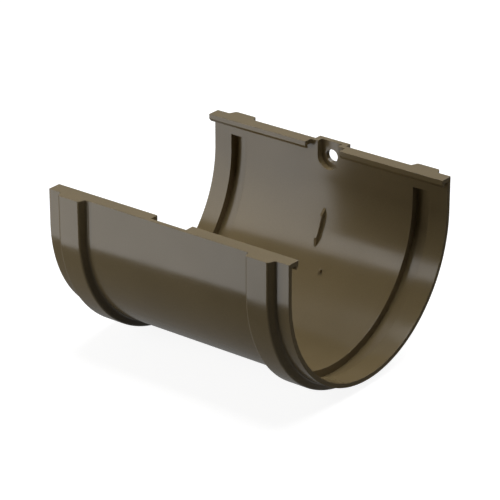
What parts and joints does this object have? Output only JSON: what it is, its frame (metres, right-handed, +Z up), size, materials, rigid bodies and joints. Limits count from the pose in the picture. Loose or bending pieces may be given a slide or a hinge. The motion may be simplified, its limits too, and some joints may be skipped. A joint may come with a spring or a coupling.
{
  "type": "gutter connector",
  "caption": "Half-round gutter connector in one moulded piece: hooked rims, hollow gasket beads near both ends and a rear boss with a screw hole.",
  "frame": {"origin": "on the ground, below the middle of the part: centre of the bounding box in X and Y, underside of the two beads in Z", "axes": "+X along the gutter, +Y to the rear, out of the face of the fixing boss, +Z up"},
  "size_m": [0.15, 0.144, 0.0912],
  "materials": {
    "moulded_pvc": "semi-gloss moulded PVC, olive brown"
  },
  "bodies": {
    "root": {"connector_body": "moulded_pvc"}
  },
  "joints": []
}
